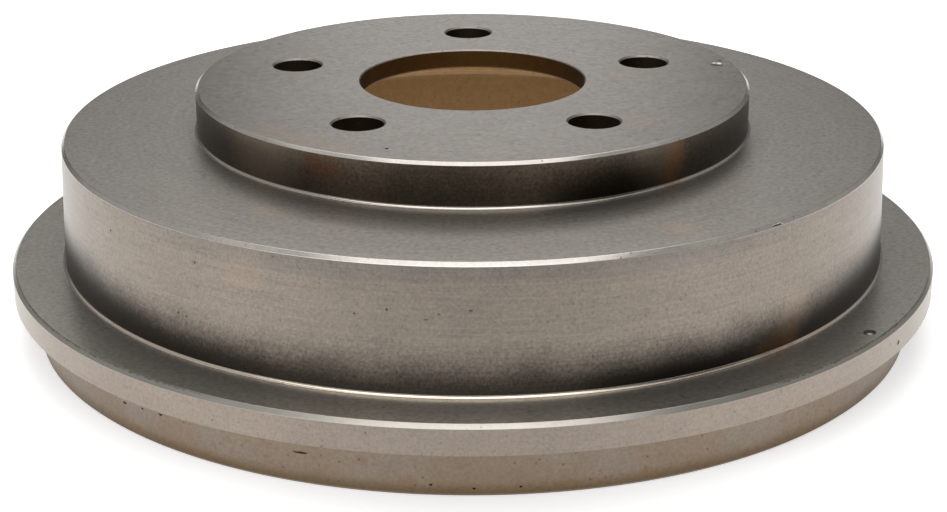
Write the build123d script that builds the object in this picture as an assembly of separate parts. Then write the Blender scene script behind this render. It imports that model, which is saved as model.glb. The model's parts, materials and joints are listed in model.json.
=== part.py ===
from build123d import *
import os
from math import radians, tan

# Rear brake drum: one grey-iron casting, turned where it works and left as cast elsewhere.
# Millimetres, +Z up along the spin axis. Z = 0 is the open end, on which the drum stands,
# and the origin is on the axis there.

# Wheel bolt pattern and pilot bore
bolt_circle = 114.3
stud_hole = 15.0
stud_count = 5
stud_hole_break = 0.5
first_stud_angle = 90
pilot_bore = 68.6
pilot_bore_break = 0.8
pilot_bore_lower_break = 0.6

# Hub: the raised boss in the middle that the wheel sits on, hollow below to clear the axle hub
hub_margin = 27.0
hub_rise = 13.2
hub_plate = 6.0
hub_wall = 8.0
hub_edge_break = 0.9
pocket_draft = 3.0
pocket_corner_break = 1.5
pocket_mouth_break = 1.5

# Body: end plate, side wall and the friction surface that the shoes press on
friction_diameter = 228.6
friction_step = 1.0
wall_thickness = 10.3
wall_rise = 36.6
wall_draft = 2.0
face_edge_break = 1.0
end_plate = 7.2
corner_break = 6.5
corner_land = 3.1
mouth_break = 1.2

# Tool-nose radius where a turned wall meets the surface round its foot
foot_radius = 0.9

# Flange, the turned rib round the open end
flange_overhang = 6.4
flange_thickness = 8.5
flange_edge_break = 1.1

# Rim below the flange: the inner ring, the groove for the backing plate's edge, and the cast lip
ring_wall = 6.4
ring_recess = 2.0
groove_width = 7.2
groove_depth = 11.5
groove_corner_break = 1.5
lip_wall = 6.6
lip_height = 15.1
lip_draft = 3.0
lip_end_break = 1.0


def spread(height, draft):
    """How far a wall of that height leans out at a draft angle in degrees."""
    return height * tan(radians(draft))


# Levels above the open end
flange_top_z = lip_height + flange_thickness
face_z = flange_top_z + wall_rise
hub_top_z = face_z + hub_rise
seat_z = hub_top_z - hub_plate
ceiling_z = face_z - end_plate
corner_z = ceiling_z - corner_break
friction_top_z = corner_z - corner_land - friction_step

# Radii from the spin axis
bore_r = pilot_bore / 2
hub_r = bolt_circle / 2 + hub_margin
pocket_r = hub_r - hub_wall
pocket_mouth_r = pocket_r + spread(seat_z - ceiling_z, pocket_draft)
friction_r = friction_diameter / 2
corner_r = friction_r - friction_step
face_r = friction_r + wall_thickness
wall_foot_r = face_r + spread(wall_rise - face_edge_break, wall_draft)
ring_r = friction_r + ring_wall
groove_r = ring_r + groove_width
lip_r = groove_r + lip_wall
lip_top_r = lip_r + spread(lip_height, lip_draft)
flange_r = lip_top_r + flange_overhang


def outer_corners():
    """Corners of the section from the pilot bore's mouth out and down to the lip's end."""
    return [
        (bore_r + pilot_bore_break, hub_top_z),
        (hub_r - hub_edge_break, hub_top_z),
        (hub_r, hub_top_z - hub_edge_break),
        (hub_r, face_z),
        (face_r - face_edge_break, face_z),
        (face_r, face_z - face_edge_break),
        (wall_foot_r, flange_top_z),
        (flange_r - flange_edge_break, flange_top_z),
        (flange_r, flange_top_z - flange_edge_break),
        (flange_r, lip_height),
        (lip_top_r, lip_height),
        (lip_r + spread(lip_end_break, lip_draft), lip_end_break),
        (lip_r - lip_end_break, 0),
    ]


def groove_corners():
    """Corners of the open end, from the lip over the groove to the mouth of the friction surface."""
    return [
        (groove_r, 0),
        (groove_r, groove_depth - groove_corner_break),
        (groove_r - groove_corner_break, groove_depth),
        (ring_r + groove_corner_break, groove_depth),
        (ring_r, groove_depth - groove_corner_break),
        (ring_r, ring_recess),
        (friction_r + mouth_break, ring_recess),
        (friction_r, ring_recess + mouth_break),
    ]


def inner_corners():
    """Corners of the inside, from the friction surface up to the hub seat and the pilot bore."""
    return [
        (friction_r, friction_top_z),
        (corner_r, friction_top_z + friction_step),
        (corner_r, corner_z),
        (corner_r - corner_break, ceiling_z),
        (pocket_mouth_r + pocket_mouth_break, ceiling_z),
        (pocket_mouth_r - spread(pocket_mouth_break, pocket_draft), ceiling_z + pocket_mouth_break),
        (pocket_r + spread(pocket_corner_break, pocket_draft), seat_z - pocket_corner_break),
        (pocket_r - pocket_corner_break, seat_z),
        (bore_r + pilot_bore_lower_break, seat_z),
        (bore_r, seat_z + pilot_bore_lower_break),
        (bore_r, hub_top_z - pilot_bore_break),
    ]


def drum_section():
    """Half section of the casting, in the plane through the spin axis."""
    outline = Wire(Polyline(*outer_corners(), *groove_corners(), *inner_corners(), close=True).edges())
    feet = [Vector(hub_r, face_z), Vector(wall_foot_r, flange_top_z)]
    turned_feet = [v for v in outline.vertices() if min((v.center() - foot).length for foot in feet) < 1e-6]
    return Plane.XZ * make_face(outline.fillet_2d(foot_radius, turned_feet))


def stud_hole_cutters():
    """One cutter for each wheel-stud hole: the drilled hole with its mouth broken on the wheel side."""
    radius = stud_hole / 2
    drill = Pos(0, 0, seat_z) * Cylinder(radius, hub_plate, align=(Align.CENTER, Align.CENTER, Align.MIN))
    mouth = Pos(0, 0, hub_top_z) * Cone(
        radius, radius + stud_hole_break, stud_hole_break, align=(Align.CENTER, Align.CENTER, Align.MAX)
    )
    spots = PolarLocations(bolt_circle / 2, stud_count, start_angle=first_stud_angle)
    return [spot * (drill + mouth) for spot in spots]


def brake_drum():
    drum = revolve(drum_section(), Axis.Z)
    for cutter in stud_hole_cutters():
        drum = drum - cutter
    return drum


def main():
    os.makedirs("parts", exist_ok=True)
    drum = brake_drum()
    drum.label = "brake_drum"
    export_step(drum, "parts/brake_drum.step")
    print("volume cm3", round(drum.volume / 1000, 1), "box", drum.bounding_box().size)


main()
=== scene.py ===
"""A brake drum in turned and cast grey iron, standing open end down on a pale studio floor."""
import json
import math

import bpy
import numpy as np
from mathutils import Matrix, Vector

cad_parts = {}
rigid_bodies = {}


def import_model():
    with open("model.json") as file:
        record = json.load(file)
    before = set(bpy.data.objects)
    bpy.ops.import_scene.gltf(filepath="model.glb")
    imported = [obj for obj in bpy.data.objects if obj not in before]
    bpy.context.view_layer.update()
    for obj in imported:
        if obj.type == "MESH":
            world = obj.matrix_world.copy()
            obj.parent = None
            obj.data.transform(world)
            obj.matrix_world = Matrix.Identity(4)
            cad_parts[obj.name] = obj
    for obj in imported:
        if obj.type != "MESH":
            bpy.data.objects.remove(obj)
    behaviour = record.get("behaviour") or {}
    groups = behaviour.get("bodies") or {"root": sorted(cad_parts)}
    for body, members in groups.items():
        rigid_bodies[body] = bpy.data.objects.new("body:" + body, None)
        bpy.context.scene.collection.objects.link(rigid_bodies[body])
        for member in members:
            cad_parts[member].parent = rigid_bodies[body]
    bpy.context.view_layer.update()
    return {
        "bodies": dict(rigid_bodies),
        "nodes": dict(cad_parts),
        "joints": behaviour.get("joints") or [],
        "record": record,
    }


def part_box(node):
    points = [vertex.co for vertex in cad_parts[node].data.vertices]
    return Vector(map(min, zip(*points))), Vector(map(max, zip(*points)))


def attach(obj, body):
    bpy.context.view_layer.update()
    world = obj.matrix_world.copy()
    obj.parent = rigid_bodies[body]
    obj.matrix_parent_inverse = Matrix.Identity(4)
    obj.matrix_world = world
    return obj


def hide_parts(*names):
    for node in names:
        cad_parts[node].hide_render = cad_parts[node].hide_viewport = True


MM = 0.001

# Finish of the mesh: the sides of a turned ring and of a drilled hole, the rows up the cast lip, and
# the angle in degrees from which an edge stays sharp
SEGMENTS = 600
DRILL_SIDES = 96
LIP_ROWS = 14
SHARP_ANGLE = 35

# The drum's own sizes in millimetres, where the frame's mounts don't give them
HUB_R = 84.15
HUB_EDGE_BREAK = 0.9
HUB_WALL = 8.0
FACE_Z = 60.2
FACE_R = 124.6
FACE_EDGE_BREAK = 1.0
WALL_DRAFT = 2.0
CEILING_Z = 53.0
CORNER_BREAK = 6.5
CORNER_LAND = 3.1
FRICTION_STEP = 1.0
FLANGE_TOP_Z = 23.6
FLANGE_EDGE_BREAK = 1.1
LIP_HEIGHT = 15.1
LIP_R = 134.5
LIP_DRAFT = 3.0
LIP_END_BREAK = 1.0
GROOVE_R = 127.9
GROOVE_DEPTH = 11.5
RING_R = 120.7
RING_RECESS = 2.0
INNER_BREAK = 1.5
MOUTH_BREAK = 1.2
BORE_BREAK = 0.4
BORE_LOWER_BREAK = 0.6
STUD_HOLE_BREAK = 0.5
POCKET_DRAFT = 3.0

# Softening of the corners in millimetres: a crisp turned edge, a foot left by the tool's nose, and a
# cast edge
CRISP = 0.08
FOOT = 0.9
CAST = 0.8

# The mould's skin on the lip: name, length and height of its waves in millimetres, and how deep they
# can go together
SKIN_WAVES = (("mould waves", 16, 0.5), ("mould grain", 3.2, 0.26))
SKIN_DEPTH = 0.4

# To tell surfaces apart, in millimetres: how near a point lies to its level face's height, or to its
# turned wall's radius
ON_LEVEL = 0.02
ON_WALL = 0.05
# How far at most a softened corner reaches, how far at most a mark reaches below its surface, and how
# far at least it goes below a broken edge
CORNER_REACH = 0.5
MARK_REACH = 2.0
BELOW_EDGE = 0.1

# Colours in linear light: turned iron, the lip's cast skin, pale iron and what lies on or in them,
# rust, and the brown inside
HUB_IRON = (0.300, 0.270, 0.239)
FACE_IRON = (0.266, 0.244, 0.22)
FLANGE_TOP_IRON = (0.372, 0.352, 0.315)
WALL_IRON = (0.258, 0.223, 0.189)
BAND_IRON = (0.205, 0.187, 0.168)
RIM_IRON = (0.286, 0.243, 0.204)
HUB_SIDE_IRON = (0.14, 0.113, 0.086)
# The edges and the feet are lighter than the faces: partly burnished iron, partly painted highlight
EDGE_IRON_AND_HIGHLIGHT = (0.68, 0.64, 0.59)
RIM_EDGE_IRON_AND_HIGHLIGHT = (0.47, 0.44, 0.395)
FOOT_IRON_AND_HIGHLIGHT = (0.74, 0.65, 0.55)
HUB_FOOT_IRON_AND_HIGHLIGHT = (0.52, 0.475, 0.425)
CAST_SKIN = (0.247, 0.192, 0.143)
CAST_FOOT = (0.245, 0.162, 0.083)
PALE_IRON = (0.48, 0.39, 0.30)
GRAPHITE = (0.07, 0.06, 0.05)
PIT = (0.15, 0.127, 0.102)
DENT = (0.06, 0.05, 0.04)
NEAR_BLACK = (0.012, 0.010, 0.008)
TAN_FILM = (0.42, 0.30, 0.20)
RUST = (0.16, 0.055, 0.025)
ORANGE_RUST = (0.26, 0.11, 0.035)
LIT_RUST = (0.36, 0.17, 0.09)
LIT_ORANGE_RUST = (0.50, 0.25, 0.10)
FRICTION_BROWN = (0.30, 0.18, 0.08)
POCKET_TAN = (0.58, 0.375, 0.18)
POCKET_MOUTH_TAN = (0.44, 0.29, 0.15)
BORE_BROWN = (0.105, 0.055, 0.0165)
HOLE_BROWN = (0.03, 0.022, 0.015)

# Stains, pale and near-black patches by surface: azimuth in degrees, height on an upright surface or
# radius on a level one, size in millimetres, strength, how ragged their edge is, and colour
HUB_SIDE_STAINS = (
    # Paler patches high on the hub's side, on both sides of the front
    (-136.0, 71.0, 19.0, 0.3, 0.1, PALE_IRON),
    (-54.5, 71.0, 12.0, 0.25, 0.1, PALE_IRON),
    # A painted dark reflection: a broad near-black patch at the front, where the hub's side mirrors the
    # dark face
    (-97.0, 68.0, 27.0, 0.5, 0.2, NEAR_BLACK),
    (-122.5, 69.8, 5.0, 0.4, 0.5, RUST),
    (-118.5, 68.8, 5.0, 0.4, 0.5, RUST),
    (-49.0, 69.8, 5.6, 0.28, 0.8, LIT_ORANGE_RUST),
    (-49.8, 66.3, 6.0, 0.3, 0.8, LIT_RUST),
    (-50.6, 61.8, 5.0, 0.42, 0.8, ORANGE_RUST),
    (-73.0, 58.0, 11.0, 0.5, 0.1, NEAR_BLACK),
    (-66.0, 59.5, 13.0, 0.7, 0.1, NEAR_BLACK),
    (-59.0, 59.5, 11.0, 0.5, 0.1, NEAR_BLACK),
)
WALL_STAINS = (
    (-53.0, 25.0, 4.0, 0.35, 0.5, ORANGE_RUST),
    (-50.6, 25.6, 5.0, 0.4, 0.5, ORANGE_RUST),
    (-48.2, 26.2, 4.5, 0.4, 0.5, ORANGE_RUST),
    (-47.5, 33.0, 9.0, 0.2, 0.6, TAN_FILM),
    (-120.0, 55.0, 10.0, 0.15, 0.5, TAN_FILM),
    (-73.0, 19.5, 14.0, 0.45, 0.1, NEAR_BLACK),
    (-66.5, 20.0, 16.0, 0.6, 0.1, NEAR_BLACK),
    (-60.0, 19.5, 13.0, 0.45, 0.1, NEAR_BLACK),
)
# The bore's wall is darker at its left and right ends
BORE_STAINS = (
    (5.0, 70.0, 17.0, 0.5, 0.1, NEAR_BLACK),
    (175.0, 70.0, 13.0, 0.7, 0.1, NEAR_BLACK),
)
HUB_TOP_STAINS = (
    (-138.0, 80.0, 10.0, 0.30, 0.5, TAN_FILM),
    (-128.0, 80.0, 9.0, 0.35, 0.5, TAN_FILM),
    (-119.0, 81.0, 8.0, 0.35, 0.5, TAN_FILM),
    (-46.0, 67.0, 7.0, 0.25, 0.5, TAN_FILM),
    (3.0, 46.0, 7.0, 0.2, 0.5, TAN_FILM),
)
FACE_STAINS = (
    (-62.7, 113.0, 6.0, 0.3, 0.6, TAN_FILM),
    (-124.8, 101.0, 6.0, 0.25, 0.6, TAN_FILM),
)
# Painted highlights on the slopes in the punch mark, and in the dent in the flange's top, where they
# would catch the light, given like the stains on level surfaces
PAINTED_SLOPE_HIGHLIGHTS = (
    (11.8, 77.6, 1.3, 0.8, 0.1, EDGE_IRON_AND_HIGHLIGHT),
    (11.3, 79.9, 1.7, 1.0, 0.1, EDGE_IRON_AND_HIGHLIGHT),
)
PAINTED_DENT_HIGHLIGHT = (
    (-38.7, 137.6, 1.2, 1.0, 0.1, EDGE_IRON_AND_HIGHLIGHT),
)

# Pits, dents and nicks, each cut by a flattened ball: azimuth, radius and height of its middle, how
# far the surface there leans back from upright in degrees, and the ball's half length round the drum,
# its half width and its half thickness in millimetres
MARKS = (
    # The hub's top and edge
    (10.2, 78.2, 74.05, 90, 3.1, 2.5, 1.0),
    (13.1, 80.6, 73.4, 90, 0.9, 0.5, 0.25),
    (-109.6, 74.8, 73.4, 90, 0.5, 0.7, 0.3),
    (-105.8, 83.8, 73.1, 45, 0.6, 0.35, 0.2),
    # The hub's foot and the face's edge
    (-113.3, 84.9, 60.6, 45, 0.8, 0.4, 0.25),
    (-51.0, 124.3, 59.6, 30, 2.2, 0.35, 0.25),
    # The flange's top and side
    (-38.5, 137.2, 24.1, 90, 2.8, 2.2, 0.8),
    (-34.35, 141.7, 18.2, 0, 0.75, 0.75, 0.5),
    # The lip
    (-110.6, 135.2, 9.4, 0, 2.2, 0.35, 0.75),
    (-136.0, 135.2, 9.1, 0, 0.8, 0.42, 0.8),
    (-132.7, 135.3, 9.8, 0, 0.6, 0.32, 0.8),
    (-129.6, 135.3, 10.2, 0, 0.8, 0.35, 0.8),
    (-96.0, 134.8, 3.5, 0, 0.4, 0.35, 0.7),
    (-91.3, 134.7, 2.6, 0, 0.45, 0.3, 0.7),
    (-86.2, 134.7, 2.8, 0, 0.35, 0.3, 0.7),
    # The side wall
    (-127.1, 124.9, 51.8, 0, 0.45, 0.35, 0.2),
    (-130.1, 125.4, 36.3, 0, 0.4, 0.35, 0.2),
    (-128.7, 125.4, 35.9, 0, 0.4, 0.3, 0.2),
    (-144.0, 124.9, 51.6, 0, 0.45, 0.35, 0.2),
    (-101.4, 125.0, 47.2, 0, 0.35, 0.45, 0.2),
    (-105.3, 125.1, 45.5, 0, 0.3, 0.3, 0.2),
    (-91.6, 125.0, 47.6, 0, 0.5, 0.25, 0.2),
    (-96.8, 125.1, 45.0, 0, 0.5, 0.2, 0.15),
)


def spread(height, draft):
    """How far a wall of that height leans out at a draft angle in degrees."""
    return height * math.tan(math.radians(draft))


class Drum:
    """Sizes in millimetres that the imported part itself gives.

    The flange's radius is the smallest half width of the CAD's box, which its facets make uneven.
    """

    def __init__(self, frame):
        low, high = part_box("brake_drum")
        mounts = {mount["name"]: mount for mount in frame["record"]["mounts"]}
        self.flange_r = min(-low[0], high[0], -low[1], high[1]) / MM
        self.top_z = high[2] / MM
        self.bore_r = mounts["pilot_bore"]["dims"]["r_mm"]
        self.friction_r = mounts["friction_surface"]["dims"]["r_mm"]
        self.seat_z = mounts["hub_seat"]["pos_m"][2] / MM
        self.stud_circle_r = mounts["stud_holes"]["dims"]["pcd_mm"] / 2
        self.stud_r = mounts["stud_holes"]["dims"]["hole_r_mm"]
        self.stud_count = mounts["stud_holes"]["dims"]["count"]


def drum_corners(drum):
    """(radius, height, softening) round the section, from the bore's mouth out, down and back up."""
    wall_foot_r = FACE_R + spread(FACE_Z - FACE_EDGE_BREAK - FLANGE_TOP_Z, WALL_DRAFT)
    lip_top_r = LIP_R + spread(LIP_HEIGHT, LIP_DRAFT)
    friction_top = CEILING_Z - CORNER_BREAK - CORNER_LAND - FRICTION_STEP
    corner_r = drum.friction_r - FRICTION_STEP
    pocket_r = HUB_R - HUB_WALL
    mouth_r = pocket_r + spread(drum.seat_z - CEILING_Z, POCKET_DRAFT)
    lip_rows = [
        (LIP_R + spread(z, LIP_DRAFT), z, 0)
        for z in np.linspace(LIP_HEIGHT - CAST, LIP_END_BREAK + CAST, LIP_ROWS)[1:-1]
    ]
    return [
        (drum.bore_r + BORE_BREAK, drum.top_z, CRISP),
        (HUB_R - HUB_EDGE_BREAK, drum.top_z, CRISP),
        (HUB_R, drum.top_z - HUB_EDGE_BREAK, CRISP),
        (HUB_R, FACE_Z, FOOT),
        (FACE_R - FACE_EDGE_BREAK, FACE_Z, CRISP),
        (FACE_R, FACE_Z - FACE_EDGE_BREAK, CRISP),
        (wall_foot_r, FLANGE_TOP_Z, FOOT),
        (drum.flange_r - FLANGE_EDGE_BREAK, FLANGE_TOP_Z, CRISP),
        (drum.flange_r, FLANGE_TOP_Z - FLANGE_EDGE_BREAK, CRISP),
        (drum.flange_r, LIP_HEIGHT, CRISP),
        (lip_top_r, LIP_HEIGHT, CAST),
        *lip_rows,
        (LIP_R + spread(LIP_END_BREAK, LIP_DRAFT), LIP_END_BREAK, CRISP),
        (LIP_R - LIP_END_BREAK, 0, CRISP),
        (GROOVE_R, 0, CRISP),
        (GROOVE_R, GROOVE_DEPTH - INNER_BREAK, CAST),
        (GROOVE_R - INNER_BREAK, GROOVE_DEPTH, CAST),
        (RING_R + INNER_BREAK, GROOVE_DEPTH, CAST),
        (RING_R, GROOVE_DEPTH - INNER_BREAK, CAST),
        (RING_R, RING_RECESS, CRISP),
        (drum.friction_r + MOUTH_BREAK, RING_RECESS, CRISP),
        (drum.friction_r, RING_RECESS + MOUTH_BREAK, CRISP),
        (drum.friction_r, friction_top, CRISP),
        (corner_r, friction_top + FRICTION_STEP, CRISP),
        (corner_r, CEILING_Z - CORNER_BREAK, CAST),
        (corner_r - CORNER_BREAK, CEILING_Z, CAST),
        (mouth_r + INNER_BREAK, CEILING_Z, CAST),
        (mouth_r - spread(INNER_BREAK, POCKET_DRAFT), CEILING_Z + INNER_BREAK, CAST),
        (pocket_r + spread(INNER_BREAK, POCKET_DRAFT), drum.seat_z - INNER_BREAK, CAST),
        (pocket_r - INNER_BREAK, drum.seat_z, CAST),
        (drum.bore_r + BORE_LOWER_BREAK, drum.seat_z, CRISP),
        (drum.bore_r, drum.seat_z + BORE_LOWER_BREAK, CRISP),
        (drum.bore_r, drum.top_z - BORE_BREAK, CRISP),
    ]


def edit_mode():
    """Starts editing the active mesh."""
    bpy.ops.object.mode_set(mode="EDIT")


def object_mode():
    """Ends editing the active mesh."""
    bpy.ops.object.mode_set(mode="OBJECT")


def turned_ring(name, corners):
    """A circle drawn at the first corner, extruded from corner to corner and closed on itself."""
    bpy.ops.object.select_all(action="DESELECT")
    r, z = corners[0][:2]
    bpy.ops.mesh.primitive_circle_add(vertices=SEGMENTS, radius=r * MM, location=(0, 0, z * MM))
    ring = bpy.context.object
    ring.name = ring.data.name = name
    bpy.ops.object.transform_apply(location=True)
    edit_mode()
    for next_r, next_z, _ in corners[1:]:
        bpy.ops.mesh.extrude_edges_move(TRANSFORM_OT_translate={"value": (0, 0, (next_z - z) * MM)})
        bpy.ops.transform.resize(value=(next_r / r, next_r / r, 1), center_override=(0, 0, 0))
        r, z = next_r, next_z
    bpy.ops.mesh.select_all(action="DESELECT")
    bpy.ops.mesh.select_non_manifold()
    bpy.ops.mesh.bridge_edge_loops()
    bpy.ops.mesh.select_all(action="SELECT")
    bpy.ops.mesh.normals_make_consistent(inside=False)
    object_mode()
    return ring


def select_only(mesh, edges=None, faces=None):
    """Selects what these flags say, one flag to each element, and nothing else."""
    for elements, flags in ((mesh.vertices, None), (mesh.edges, edges), (mesh.polygons, faces)):
        elements.foreach_set("select", np.zeros(len(elements), dtype=bool) if flags is None else flags)


def ring_points(mesh):
    """Radius and height of every vertex, in millimetres."""
    points = np.empty(len(mesh.vertices) * 3)
    mesh.vertices.foreach_get("co", points)
    points = points.reshape(-1, 3) / MM
    return np.hypot(points[:, 0], points[:, 1]), points[:, 2]


def select_rings(ring, corners):
    """Selects the edges that run round the drum at these corners, and nothing else."""
    same_place = 0.01
    mesh = ring.data
    radius, height = ring_points(mesh)
    corner_of = np.full(len(radius), -1)
    for number, (r, z, _) in enumerate(corners):
        corner_of[np.hypot(radius - r, height - z) < same_place] = number
    ends = np.empty(len(mesh.edges) * 2, dtype=int)
    mesh.edges.foreach_get("vertices", ends)
    first, second = corner_of[ends.reshape(-1, 2)].T
    select_only(mesh, edges=(first >= 0) & (first == second))


def soften(ring, corners, softening, segments):
    """Rounds the corners that ask for this softening, in that many steps."""
    bpy.context.tool_settings.mesh_select_mode = (False, True, False)
    select_rings(ring, [corner for corner in corners if corner[2] == softening])
    edit_mode()
    bpy.ops.mesh.bevel(offset=softening * MM, segments=segments, profile=0.5, affect="EDGES")
    object_mode()


def joined(name, pieces):
    """The pieces as one mesh."""
    bpy.ops.object.select_all(action="DESELECT")
    for piece in pieces:
        piece.select_set(True)
    bpy.context.view_layer.objects.active = pieces[0]
    bpy.ops.object.join()
    whole = bpy.context.object
    whole.name = name
    return whole


def stud_hole_cutters(drum):
    """A drill for each stud hole, with a cone on its upper end that breaks the hole's edge."""
    cutters = []
    first_hole = 90
    length = 3 * (drum.top_z - drum.seat_z)
    shoulder = 2 * STUD_HOLE_BREAK
    widening = (drum.stud_r + shoulder) / drum.stud_r
    for k in range(drum.stud_count):
        angle = math.radians(first_hole + 360 * k / drum.stud_count)
        x, y = drum.stud_circle_r * math.cos(angle), drum.stud_circle_r * math.sin(angle)
        bpy.ops.object.select_all(action="DESELECT")
        bpy.ops.mesh.primitive_cylinder_add(
            vertices=DRILL_SIDES, radius=drum.stud_r * MM, depth=length * MM,
            location=(x * MM, y * MM, (drum.top_z - STUD_HOLE_BREAK - length / 2) * MM),
        )
        drill = bpy.context.object
        bpy.ops.object.transform_apply(location=True)
        bpy.context.tool_settings.mesh_select_mode = (False, False, True)
        select_only(drill.data, faces=[face.normal.z > 0.9 for face in drill.data.polygons])
        edit_mode()
        bpy.ops.mesh.extrude_region_move(TRANSFORM_OT_translate={"value": (0, 0, shoulder * MM)})
        bpy.ops.transform.resize(value=(widening, widening, 1), center_override=(x * MM, y * MM, 0))
        object_mode()
        cutters.append(drill)
    return joined("stud_hole_cutters", cutters)


def mark_cutters():
    """A flattened ball for each pit, dent and nick, sunk into the surface that it marks."""
    balls = []
    for azimuth, r, z, lean, length, width, depth in MARKS:
        bpy.ops.object.select_all(action="DESELECT")
        turn = math.radians(azimuth)
        bpy.ops.mesh.primitive_uv_sphere_add(
            segments=20, ring_count=12, radius=MM,
            location=(r * math.cos(turn) * MM, r * math.sin(turn) * MM, z * MM),
            rotation=(0, -math.radians(lean), turn), scale=(depth, length, width),
        )
        bpy.ops.object.transform_apply(location=True, rotation=True, scale=True)
        balls.append(bpy.context.object)
    return joined("mark_cutters", balls)


def make_active(piece):
    """Selects this piece alone."""
    bpy.ops.object.select_all(action="DESELECT")
    bpy.context.view_layer.objects.active = piece
    piece.select_set(True)


def cut(piece, cutter):
    """Takes the cutter's shape out of the piece and deletes the cutter."""
    make_active(piece)
    modifier = piece.modifiers.new("cut", "BOOLEAN")
    modifier.operation = "DIFFERENCE"
    modifier.solver = "EXACT"
    modifier.object = cutter
    bpy.ops.object.modifier_apply(modifier=modifier.name)
    bpy.data.objects.remove(cutter)


def roughen_lip(ring):
    """Leaves the waves and grain of the mould on the outside of the lip."""
    smooth_foot = 1.6
    smooth_top = 0.3
    make_active(ring)
    radius, height = ring_points(ring.data)
    rise = np.clip((height - smooth_foot) / 2.5, 0, 1)
    rise = rise * np.clip((LIP_HEIGHT - smooth_top - height) / 1.5, 0, 1)
    rise[radius < LIP_R - CORNER_REACH] = 0
    group = ring.vertex_groups.new(name="cast lip")
    for index in np.flatnonzero(rise > 0):
        group.add([int(index)], float(rise[index]), "REPLACE")
    for name, wave_mm, strength_mm in SKIN_WAVES:
        texture = bpy.data.textures.new(name, "CLOUDS")
        texture.noise_scale = wave_mm * MM
        modifier = ring.modifiers.new(name, "DISPLACE")
        modifier.texture = texture
        modifier.texture_coords = "LOCAL"
        modifier.vertex_group = "cast lip"
        modifier.strength = strength_mm * MM
        bpy.ops.object.modifier_apply(modifier=modifier.name)
    ring.vertex_groups.clear()


def finish_normals(piece):
    """Shades the turned surfaces smooth and keeps the flat faces flat."""
    make_active(piece)
    bpy.ops.object.shade_smooth_by_angle(angle=math.radians(SHARP_ANGLE))
    modifier = piece.modifiers.new("flat faces", "WEIGHTED_NORMAL")
    modifier.keep_sharp = True
    modifier.weight = 100
    bpy.ops.object.modifier_apply(modifier=modifier.name)


def hub_surface(drum, r, z):
    """The surface of the hub on which a point lies, or None."""
    stud_holes_end = drum.stud_circle_r + drum.stud_r
    in_plate = z > drum.seat_z + ON_LEVEL
    if z > drum.top_z - ON_LEVEL:
        return "hub top"
    if in_plate and z < drum.top_z - BORE_BREAK and r < drum.bore_r + BORE_LOWER_BREAK:
        return "bore wall"
    if in_plate and r < stud_holes_end + CORNER_REACH:
        return "hole mouths" if z > drum.top_z - STUD_HOLE_BREAK - ON_WALL else "stud holes"
    if z > drum.top_z - HUB_EDGE_BREAK and r + z < HUB_R + drum.top_z - HUB_EDGE_BREAK - BELOW_EDGE:
        return "dents"
    if z > FACE_Z + FOOT and abs(r - HUB_R) < ON_WALL:
        return "hub side"
    if z > FACE_Z + ON_LEVEL and r > HUB_R - MARK_REACH:
        return "edges" if z > drum.top_z - HUB_EDGE_BREAK - CORNER_REACH else "hub foot"
    return None


def wall_surface(r, z):
    """The surface of the face or the side wall below it on which a point lies, or None."""
    wall_r = FACE_R + spread(FACE_Z - FACE_EDGE_BREAK - z, WALL_DRAFT)
    if abs(z - FACE_Z) < ON_LEVEL and r > HUB_R:
        return "face"
    if z > FACE_Z - FACE_EDGE_BREAK - CORNER_REACH and r > FACE_R - MARK_REACH:
        return "pits" if r + z < FACE_R + FACE_Z - FACE_EDGE_BREAK - BELOW_EDGE else "edges"
    if z > FLANGE_TOP_Z + FOOT and abs(r - wall_r) < ON_WALL:
        return "wall"
    if z > FLANGE_TOP_Z + FOOT + CORNER_REACH and r > wall_r - MARK_REACH:
        return "pits"
    if z > FLANGE_TOP_Z + ON_LEVEL and r > wall_r - MARK_REACH:
        return "wall foot"
    return None


def rim_surface(drum, r, z):
    """The surface of the flange or the lip below it on which a point lies, or None."""
    lip_outside = LIP_R + spread(z, LIP_DRAFT)
    if abs(z - FLANGE_TOP_Z) < ON_LEVEL and r > FACE_R:
        return "flange top"
    if z > FLANGE_TOP_Z - FLANGE_EDGE_BREAK - CORNER_REACH and r > FACE_R:
        inside_edge = r < drum.flange_r - FLANGE_EDGE_BREAK - CORNER_REACH
        return "dents" if inside_edge else "rim edge"
    if abs(r - drum.flange_r) < ON_WALL:
        return "flange side"
    if z > LIP_HEIGHT + CORNER_REACH and r > drum.flange_r - MARK_REACH:
        return "pits"
    if z > LIP_HEIGHT + ON_WALL or r < LIP_R - LIP_END_BREAK - CORNER_REACH:
        return None
    in_skin = LIP_END_BREAK + CORNER_REACH < z < LIP_HEIGHT - CAST
    return "pits" if in_skin and r < lip_outside - SKIN_DEPTH else "cast lip"


def inner_surface(drum, r, z):
    """The surface of the drum's inside on which a point lies."""
    pocket_r = HUB_R - HUB_WALL + spread(drum.seat_z - z, POCKET_DRAFT)
    friction_top = CEILING_Z - CORNER_BREAK - CORNER_LAND - FRICTION_STEP
    if friction_top < z < friction_top + FRICTION_STEP and r < drum.friction_r:
        return "pocket mouth"
    if z > CEILING_Z and abs(r - pocket_r) < MARK_REACH:
        return "pocket" if z > CEILING_Z + INNER_BREAK + CORNER_REACH else "pocket mouth"
    return "inside"


def surface_of(drum, r, z):
    """The name of the surface on which a point of the drum lies, by its radius and height."""
    return (
        hub_surface(drum, r, z) or wall_surface(r, z) or rim_surface(drum, r, z)
        or inner_surface(drum, r, z)
    )


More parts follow.
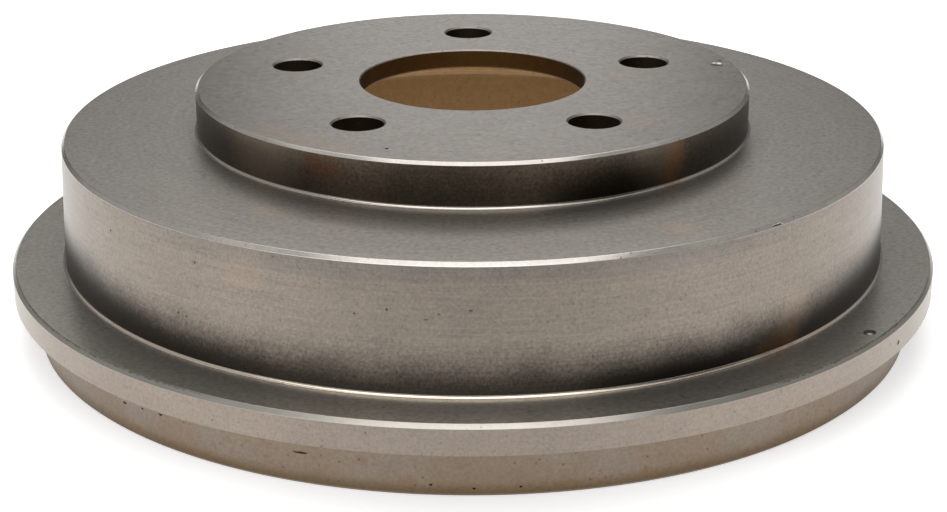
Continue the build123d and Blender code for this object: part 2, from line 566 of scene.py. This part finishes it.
def make_drum(drum, finishes):
    """The whole drum as one mesh, with a finish on each of its surfaces."""
    corners = drum_corners(drum)
    ring = turned_ring("drum_body", corners)
    soften(ring, corners, FOOT, segments=5)
    soften(ring, corners, CAST, segments=3)
    soften(ring, corners, CRISP, segments=2)
    roughen_lip(ring)
    cut(ring, stud_hole_cutters(drum))
    cut(ring, mark_cutters())
    names = list(finishes)
    ring.data.materials.clear()
    for name in names:
        ring.data.materials.append(finishes[name])
    for face in ring.data.polygons:
        x, y, z = face.center / MM
        face.material_index = names.index(surface_of(drum, math.hypot(x, y), z))
    finish_normals(ring)
    return ring


# Sockets of the Mix node for colours, some of whose names aren't unique
MIX_FACTOR = 0
MIX_FIRST = 6
MIX_SECOND = 7
MIX_RESULT = 2


class Value:
    """A number, colour or vector that varies over a surface. Python's operators add Math nodes."""

    def __init__(self, nodes, socket):
        self.nodes = nodes
        self.socket = socket

    def maths(self, operation, *values):
        """A Math node with these values, in this order."""
        return self.nodes.add("ShaderNodeMath", {"operation": operation}, dict(enumerate(values)))

    def __add__(self, other):
        return self.maths("ADD", self, other)

    def __radd__(self, other):
        return self.maths("ADD", other, self)

    def __sub__(self, other):
        return self.maths("SUBTRACT", self, other)

    def __rsub__(self, other):
        return self.maths("SUBTRACT", other, self)

    def __mul__(self, other):
        return self.maths("MULTIPLY", self, other)

    def __truediv__(self, other):
        return self.maths("DIVIDE", self, other)

    def __pow__(self, other):
        return self.maths("POWER", self, other)

    def ramp(self, low, high):
        """0 below low, 1 above high and smooth between, or the other way round if low is above high."""
        if low > high:
            return 1 - self.ramp(high, low)
        settings = {"interpolation_type": "SMOOTHSTEP"}
        sockets = {"Value": self, "From Min": low, "From Max": high, "To Min": 0.0, "To Max": 1.0}
        return self.nodes.add("ShaderNodeMapRange", settings, sockets)


class Nodes:
    """The nodes of one material, and the places of its patterns in millimetres."""

    def __init__(self, tree):
        self.tree = tree
        place = self.add("ShaderNodeTexCoord", {}, {}, "Object")
        split = self.add("ShaderNodeSeparateXYZ", {}, {0: place}).socket.node
        self.x, self.y, self.z = (Value(self, output) * (1 / MM) for output in split.outputs)
        self.r = (self.x * self.x + self.y * self.y) ** 0.5

    def add(self, kind, settings, sockets, output=0):
        """A node of any kind: its settings first, then the values or links of its sockets."""
        node = self.tree.nodes.new(kind)
        for name, value in settings.items():
            setattr(node, name, value)
        for name, value in sockets.items():
            if isinstance(value, Value):
                self.tree.links.new(value.socket, node.inputs[name])
            else:
                node.inputs[name].default_value = value
        return Value(self, node.outputs[output])

    def vector(self, x, y, z):
        """A vector, or a colour, of three values."""
        return self.add("ShaderNodeCombineXYZ", {}, {0: x, 1: y, 2: z})

    def noise(self, where, detail, roughness):
        """Noise from about 0 to 1, with one wave to each unit of the vector."""
        sockets = {"Vector": where, "Scale": 1.0, "Detail": detail, "Roughness": roughness}
        return self.add("ShaderNodeTexNoise", {}, sockets)

    def blotches(self, size_mm, seed=0.0, detail=2.0, roughness=0.5):
        """Noise with waves of this size in every direction."""
        where = self.vector(self.x / size_mm + seed, self.y / size_mm, self.z / size_mm)
        return self.noise(where, detail, roughness)

    def turning_lines(self, along_mm, across_mm, across, seed=0.0):
        """Streaks round the axis, stacked over the coordinate across."""
        where = self.vector(self.x / along_mm + seed, self.y / along_mm, across / across_mm)
        return self.noise(where, detail=3.0, roughness=0.6)

    def spot(self, x, y, z, size_mm, ragged):
        """A ragged patch about a point, 1 in the middle."""
        offset = ((self.x - x) ** 2 + (self.y - y) ** 2 + (self.z - z) ** 2) ** 0.5
        fraying = self.blotches(size_mm * 0.3, seed=7.3, detail=4.0) - 0.5
        reach = offset / size_mm + fraying * (2 * ragged)
        return reach.ramp(1.1, 0.2)

    def dots(self, cell_mm, dot_mm, seed=0.0):
        """Small round dots strewn at random, 1 in the middle of each."""
        where = self.vector(self.x / cell_mm + seed, self.y / cell_mm, self.z / cell_mm)
        distance = self.add("ShaderNodeTexVoronoi", {"feature": "F1"}, {"Vector": where, "Scale": 1.0})
        return (distance * cell_mm).ramp(dot_mm, dot_mm * 0.4)

    def shaded(self, colour, shade):
        """A colour made lighter or darker by a number about 1."""
        settings = {"data_type": "RGBA", "blend_type": "MULTIPLY"}
        grey = self.vector(shade, shade, shade)
        sockets = {MIX_FACTOR: 1.0, MIX_FIRST: self.colour(colour), MIX_SECOND: grey}
        return self.add("ShaderNodeMix", settings, sockets, MIX_RESULT)

    def stained(self, base, stains):
        """Stains laid on a colour, each given as (x, y, z, size, strength, raggedness, colour)."""
        for x, y, z, size, strength, ragged, stain in stains:
            base = self.mix(self.spot(x, y, z, size, ragged) * strength, base, stain)
        return base

    def mix(self, factor, first, second):
        """A colour between two colours, the first where the factor is 0."""
        sockets = {MIX_FACTOR: factor, MIX_FIRST: self.colour(first), MIX_SECOND: self.colour(second)}
        return self.add("ShaderNodeMix", {"data_type": "RGBA"}, sockets, MIX_RESULT)

    @staticmethod
    def colour(value):
        """A socket's value for a colour that is fixed or varies."""
        return value if isinstance(value, Value) else (*value, 1.0)


def iron(name, roughness, metallic=1.0):
    """A material with its nodes and its shader, still without a pattern."""
    material = bpy.data.materials.new(name)
    material.use_nodes = True
    nodes = Nodes(material.node_tree)
    shader = material.node_tree.nodes["Principled BSDF"]
    shader.inputs["Metallic"].default_value = metallic
    shader.inputs["Roughness"].default_value = roughness
    return material, nodes, shader


def wire(nodes, shader, **sockets):
    """Links values to the shader's sockets, given as base_color and normal."""
    for name, value in sockets.items():
        title = name.replace("_", " ").title()
        nodes.tree.links.new(value.socket, shader.inputs[title])


def bump(nodes, height_mm):
    """A normal from a height in millimetres."""
    return nodes.add("ShaderNodeBump", {}, {"Strength": 1.0, "Distance": MM, "Height": height_mm})


def side_stains(radius, stains):
    """Stains on an upright surface, placed by azimuth and height."""
    return [
        (radius * math.cos(math.radians(azimuth)), radius * math.sin(math.radians(azimuth)), z, *rest)
        for azimuth, z, *rest in stains
    ]


def top_stains(height, stains):
    """Stains on a level surface, placed by azimuth and radius."""
    return [
        (r * math.cos(math.radians(azimuth)), r * math.sin(math.radians(azimuth)), height, *rest)
        for azimuth, r, *rest in stains
    ]


def turned(name, colour, across, roughness=0.3, streaks=1.0, grains=1.0, grain_mm=0.8, metallic=1.0,
           painted_corner_shade=None, band_z=None, stains=()):
    """Bare turned iron: tool lines round the axis, the iron's own grain, and specks of graphite.

    The lines are stacked over the coordinate across, and grain_mm is the grain's size. Metallic is
    below 1 where the photograph shows that a surface scatters some light. Painted corner shade, given
    as the height where it starts, the height where it is full and how much it darkens, darkens the
    corner that the tool left at the foot, where the flange or the face shades it. Above band_z the
    front of the drum is a little greyer.
    """
    material, nodes, shader = iron(name, roughness, metallic)
    across = getattr(nodes, across)
    grain = nodes.blotches(grain_mm, seed=3.7) - 0.5
    lines = nodes.turning_lines(20, 0.45, across) - 0.5
    bands = nodes.turning_lines(90, 2.6, across, seed=4.1) - 0.5
    clouds = nodes.blotches(13, seed=8.2, detail=4.0) - 0.5
    smudges = nodes.blotches(2.4, seed=15.0, detail=3.0)
    shade = 1 + grain * (0.75 * grains) + lines * (0.45 * streaks)
    shade = shade + bands * (0.22 * streaks) + clouds * 0.15
    shade = shade * (1 - smudges.ramp(0.58, 0.74) * (0.16 * grains))
    if band_z is not None:
        greyer = (nodes.z + bands * 8).ramp(band_z - 0.8, band_z + 0.8) * nodes.y.ramp(-80.0, -110.0)
        colour = nodes.mix(greyer * 0.7, colour, BAND_IRON)
    base = nodes.shaded(colour, shade)
    warm = nodes.blotches(2.8, seed=9.0, detail=4.0).ramp(0.52, 0.8)
    base = nodes.mix(warm * 0.15, base, TAN_FILM)
    specks = nodes.dots(2.3, 0.4) * smudges.ramp(0.4, 0.6) * (0.6 * grains)
    pores = nodes.dots(6.5, 0.5, seed=31.0) * (0.7 * grains)
    base = nodes.mix(specks, base, GRAPHITE)
    base = nodes.mix(pores, base, GRAPHITE)
    # Painted shade in the corner at the foot, ragged, and reaching 4 mm higher at the sides and the back
    # than in front
    if painted_corner_shade is not None:
        start_z, full_z, darkening = painted_corner_shade
        higher_aside = nodes.y.ramp(-115.0, -60.0) * 4
        pepper = grain * 4.5 + (smudges - 0.5) * 4
        corner = (nodes.z + clouds * 6 + pepper - higher_aside).ramp(start_z, full_z)
        base = nodes.shaded(base, 1 - corner * darkening)
    base = nodes.stained(base, stains)
    height = lines * 0.004 + grain * 0.008 - specks * 0.02 - pores * 0.04
    wire(nodes, shader, base_color=base, normal=bump(nodes, height))
    return material


def burnished_and_highlighted(name, colour, roughness=0.22, painted_back_shade=0.0, ragged_z=None, stains=()):
    """Edges and tool-nose radii, smoother and brighter than the faces.

    Their brightness is partly burnished iron and partly painted highlight. Painted shade darkens them
    on the far half of the drum by the fraction given, and they are dark and ragged above ragged_z
    except in front.
    """
    material, nodes, shader = iron(name, roughness)
    grain = nodes.blotches(0.9, seed=2.0) - 0.5
    wear = nodes.blotches(6.0, seed=5.5, detail=3.0) - 0.5
    # Painted shade: darker on the far half of the drum
    back_shade_mask = nodes.y.ramp(-22.0, 4.0) * painted_back_shade
    base = nodes.shaded(colour, (1 + grain * 0.2 + wear * 0.25) * (1 - back_shade_mask))
    if ragged_z is not None:
        ragged = (nodes.z + wear * 0.8 + grain * 1.2).ramp(ragged_z - 0.15, ragged_z + 0.15)
        aside = nodes.y.ramp(-128.0, -112.0)
        base = nodes.mix(ragged * aside * 0.7, base, PIT)
    base = nodes.stained(base, stains)
    nicks = nodes.dots(4.0, 0.4, seed=12.0) * 0.5
    wire(nodes, shader, base_color=nodes.mix(nicks, base, GRAPHITE))
    return material


def cast_skin(name):
    """The mould's rough skin on the lip, browned by a thin film of rust and darker at its foot."""
    material, nodes, shader = iron(name, 0.42)
    mottle = nodes.blotches(7, seed=3.0, detail=6.0, roughness=0.6)
    grain = nodes.blotches(0.9, seed=6.0, detail=3.0) - 0.5
    pores = nodes.dots(2.6, 0.5, seed=5.0) * mottle.ramp(0.4, 0.6)
    greyer = nodes.blotches(26, seed=17.0, detail=4.0).ramp(0.45, 0.65)
    base = nodes.mix(greyer * 0.6, CAST_SKIN, WALL_IRON)
    brown_foot = nodes.z.ramp(6.0, 1.0) * 0.7
    # Painted shade: the lip is darker towards the floor and just under the flange's overhang
    painted_foot_shadow = nodes.z.ramp(5.0, 0.8) * 0.35
    painted_shade_under_flange = nodes.z.ramp(LIP_HEIGHT - 0.9, LIP_HEIGHT - 0.1) * 0.5
    base = nodes.mix(brown_foot, base, CAST_FOOT)
    shade = (0.82 + mottle * 0.36 + grain * 0.5) * (1 - painted_foot_shadow) * (1 - painted_shade_under_flange)
    base = nodes.shaded(base, shade)
    base = nodes.mix(mottle.ramp(0.56, 0.72) * 0.35, base, RUST)
    base = nodes.mix(pores * 0.6, base, GRAPHITE)
    height = nodes.blotches(1.4, seed=1.0, detail=4.0) * 0.09 - pores * 0.08
    wire(nodes, shader, base_color=base, normal=bump(nodes, height))
    return material


def scuffed(name):
    """The broken mouths of the holes, duller than the hub's top and nicked."""
    material, nodes, shader = iron(name, 0.45)
    nicks = nodes.blotches(1.6, seed=21.0, detail=3.0)
    base = nodes.shaded(HUB_IRON, 0.95 + (nicks - 0.5) * 0.6)
    base = nodes.mix(nicks.ramp(0.56, 0.66) * 0.8, base, PIT)
    wire(nodes, shader, base_color=base, normal=bump(nodes, nicks * 0.06))
    return material


def oiled(name, colour, roughness=0.4, stains=()):
    """Iron that no tool has kept bright: the brown inside, the holes and the marks."""
    material, nodes, shader = iron(name, roughness)
    mottle = nodes.blotches(3.0, seed=2.0, detail=5.0) - 0.5
    grain = nodes.blotches(1.1, seed=4.0, detail=2.0) - 0.5
    base = nodes.shaded(colour, 1 + mottle * 0.35 + grain * 0.35)
    base = nodes.mix(nodes.dots(4.0, 0.5, seed=3.0) * 0.4, base, GRAPHITE)
    base = nodes.stained(base, stains)
    wire(nodes, shader, base_color=base, normal=bump(nodes, grain * 0.02 + mottle * 0.03))
    return material


def make_finishes(drum):
    """The material of each surface, by the surface's name."""
    mean_wall_r = FACE_R + 1.0
    hub_side_stains = side_stains(HUB_R, HUB_SIDE_STAINS)
    wall_stains = side_stains(mean_wall_r, WALL_STAINS)
    hub_top_stains = top_stains(drum.top_z, HUB_TOP_STAINS)
    face_stains = top_stains(FACE_Z, FACE_STAINS)
    # The painted highlights lie just below the surfaces
    painted_highlights = top_stains(drum.top_z - 0.1, PAINTED_SLOPE_HIGHLIGHTS)
    painted_highlights += top_stains(FLANGE_TOP_Z - 0.2, PAINTED_DENT_HIGHLIGHT)
    bore_stains = side_stains(drum.bore_r, BORE_STAINS)
    # Rust and film go on down over the feet, and the near-black patches don't
    foot_stains = [stain for stain in wall_stains + hub_side_stains if stain[-1] != NEAR_BLACK]
    return {
        "hub top": turned(
            "hub top", HUB_IRON, "r", roughness=0.25, streaks=0.5, grains=0.95, grain_mm=1.3,
            stains=hub_top_stains,
        ),
        "face": turned(
            "face", FACE_IRON, "r", roughness=0.36, streaks=0.7, grains=1.2, grain_mm=1.4, metallic=0.93,
            stains=face_stains,
        ),
        "flange top": turned(
            "flange top", FLANGE_TOP_IRON, "r", streaks=0.7, grain_mm=1.4, metallic=0.86,
        ),
        # The hub's side is darker at its foot by painted shade
        "hub side": turned(
            "hub side", HUB_SIDE_IRON, "z", grains=1.4, painted_corner_shade=(FACE_Z + 11, FACE_Z + 0.5, 0.4),
            stains=hub_side_stains,
        ),
        # The wall is darker at its foot by painted shade, where the flange shades it
        "wall": turned(
            "wall", WALL_IRON, "z", roughness=0.34, grains=0.8,
            painted_corner_shade=(FLANGE_TOP_Z + 16, FLANGE_TOP_Z + 2, 0.75), band_z=FACE_Z - 5.5, stains=wall_stains,
        ),
        "flange side": turned("flange side", RIM_IRON, "z", streaks=0.4, grains=0.65),
        # Edges, rim edge and feet: partly burnished iron, partly painted highlight
        "edges": burnished_and_highlighted("edges", EDGE_IRON_AND_HIGHLIGHT, painted_back_shade=0.5),
        "rim edge": burnished_and_highlighted(
            "rim edge", RIM_EDGE_IRON_AND_HIGHLIGHT, roughness=0.28, painted_back_shade=0.15, ragged_z=FLANGE_TOP_Z - 0.25,
        ),
        "hub foot": burnished_and_highlighted("hub foot", HUB_FOOT_IRON_AND_HIGHLIGHT, stains=foot_stains),
        "wall foot": burnished_and_highlighted("wall foot", FOOT_IRON_AND_HIGHLIGHT, stains=foot_stains),
        "hole mouths": scuffed("hole mouths"),
        "pits": oiled("pits", PIT, roughness=0.6),
        # The dents carry the painted highlights of the punch mark and of the flange's dent
        "dents": oiled("dents", DENT, roughness=0.6, stains=painted_highlights),
        "cast lip": cast_skin("cast lip"),
        "bore wall": oiled("bore wall", BORE_BROWN, roughness=0.5, stains=bore_stains),
        "stud holes": oiled("stud holes", HOLE_BROWN, roughness=0.5),
        "pocket": oiled("pocket", POCKET_TAN, roughness=0.6),
        "pocket mouth": oiled("pocket mouth", POCKET_MOUTH_TAN, roughness=0.6),
        "inside": oiled("inside", FRICTION_BROWN),
    }


def make_camera():
    """The photograph's view: its distance from the middle of the hub's top, and its angles there."""
    focal_px = 1991.17
    image_width_px = 947
    distance = 611.47
    elevation = math.radians(15.4928)
    pitch = math.radians(5.099)
    yaw = math.radians(-0.0175)
    roll = math.radians(-0.1633)
    around = math.radians(-1.3508)
    hub_top = 73.4
    camera = bpy.data.objects.new("camera", bpy.data.cameras.new("camera"))
    bpy.context.collection.objects.link(camera)
    camera.data.sensor_width = 36
    camera.data.lens = focal_px * camera.data.sensor_width / image_width_px
    camera.data.clip_end = 20
    back = Vector((0, -math.cos(elevation), math.sin(elevation)))
    right = Vector((1, 0, 0))
    down = right.cross(back)
    look = Matrix((right, down, -back))
    rolled = Matrix.Rotation(roll, 3, "Z") @ Matrix.Rotation(pitch, 3, "X")
    turn = rolled @ Matrix.Rotation(yaw, 3, "Y") @ look
    axes = Matrix((turn[0], -turn[1], -turn[2])).transposed()
    stand = (back * distance + Vector((0, 0, hub_top))) * MM
    place = Matrix.Rotation(around, 4, "Z") @ Matrix.Translation(stand)
    camera.matrix_world = place @ axes.to_4x4()
    bpy.context.scene.camera = camera


def soft_panel(name, x, y, width, depth, radiance):
    """A soft lamp in the ceiling, facing down, with its energy from its radiance and its size."""
    ceiling = 1.0
    lamp = bpy.data.lights.new(name, "AREA")
    lamp.shape = "RECTANGLE"
    lamp.size = width
    lamp.size_y = depth
    lamp.energy = radiance * math.pi * width * depth
    holder = bpy.data.objects.new(name, lamp)
    bpy.context.collection.objects.link(holder)
    holder.location = (x, y, ceiling)


def make_floor():
    """A plain pale floor. What it adds for the camera keeps it white round the drum's shadow.

    It adds less in a round patch in front of the drum, where the shadow shows: painted shade on the
    floor, which the wall and the lip reflect.
    """
    glow = 0.52
    patch_glow = 0.15
    patch_y = -360
    patch_r = 120
    patch_fade_r = 260
    bpy.ops.object.select_all(action="DESELECT")
    bpy.ops.mesh.primitive_circle_add(vertices=64, radius=3.0, fill_type="NGON")
    floor = bpy.context.object
    floor.name = "floor"
    material = bpy.data.materials.new("pale floor")
    material.use_nodes = True
    nodes = Nodes(material.node_tree)
    shader = material.node_tree.nodes["Principled BSDF"]
    shader.inputs["Base Color"].default_value = (0.78, 0.78, 0.78, 1)
    shader.inputs["Roughness"].default_value = 1.0
    shader.inputs["Specular IOR Level"].default_value = 0
    shader.inputs["Emission Color"].default_value = (1, 1, 1, 1)
    path = nodes.tree.nodes.new("ShaderNodeLightPath")
    rays = ("Is Camera Ray", "Is Glossy Ray", "Is Transmission Ray")
    camera, glossy, through = (Value(nodes, path.outputs[ray]) for ray in rays)
    seen = (camera + glossy + through).ramp(0.0, 1.0)
    from_patch = (nodes.x * nodes.x + (nodes.y - patch_y) ** 2) ** 0.5
    # Painted shade: the floor glows less in the patch in front of the drum
    level = patch_glow + from_patch.ramp(patch_r, patch_fade_r) * (glow - patch_glow)
    nodes.tree.links.new((seen * level).socket, shader.inputs["Emission Strength"])
    floor.data.materials.append(material)


def make_world():
    """A dim studio, grey at the sides, paler straight behind and brightest over the camera.

    Right, back and up are the parts of the direction, each from -1 to 1.
    """
    all_round = 0.05
    world = bpy.data.worlds.new("studio")
    bpy.context.scene.world = world
    world.use_nodes = True
    nodes = Nodes(world.node_tree)
    place = nodes.add("ShaderNodeTexCoord", {}, {}, "Generated")
    split = nodes.add("ShaderNodeSeparateXYZ", {}, {0: place}).socket.node
    right, back, up = (Value(nodes, output) for output in split.outputs)
    left_side = (0 - right).ramp(0.5, 0.8) * back.ramp(-0.8, -0.5)
    right_side = right.ramp(0.5, 0.8) * back.ramp(-0.4, -0.05)
    sideways = (right - 0.024) ** 2
    backdrop = back.ramp(0.0, 0.5) * up.ramp(0.42, 0.32) * (0.4 + up.ramp(0.06, 0.24) * 0.6)
    behind = sideways.ramp(0.42, 0.16) * backdrop
    straight_behind = sideways.ramp(0.024, 0.0) * backdrop
    over_camera = back.ramp(-0.35, -0.55) * right.ramp(0.5, 0.3) * up.ramp(0.28, 0.35)
    level = left_side * 0.36 + right_side * 0.30 + behind * 0.16 + straight_behind * 0.64
    level = level + over_camera * 1.75 + all_round
    background = world.node_tree.nodes["Background"]
    nodes.tree.links.new(nodes.vector(level, level, level).socket, background.inputs["Color"])


def light_scene():
    """The floor, the studio round it and the lamps in the ceiling."""
    make_floor()
    make_world()
    soft_panel("key panel", x=0, y=0.8, width=1.0, depth=1.6, radiance=2.45)
    soft_panel("middle panel", x=0, y=-0.35, width=1.0, depth=0.7, radiance=1.2)
    soft_panel("front panel", x=0, y=-1.45, width=2.0, depth=1.5, radiance=0.56)
    soft_panel("left panel", x=-0.75, y=0.45, width=0.5, depth=2.3, radiance=0.36)
    soft_panel("right panel", x=0.75, y=0.45, width=0.5, depth=2.3, radiance=0.22)


def main():
    """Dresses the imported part, with the drum in the place of its CAD node."""
    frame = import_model()
    make_camera()
    drum = Drum(frame)
    body = make_drum(drum, make_finishes(drum))
    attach(body, "root")
    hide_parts("brake_drum")
    light_scene()
    bpy.context.scene.view_settings.view_transform = "Standard"


main()
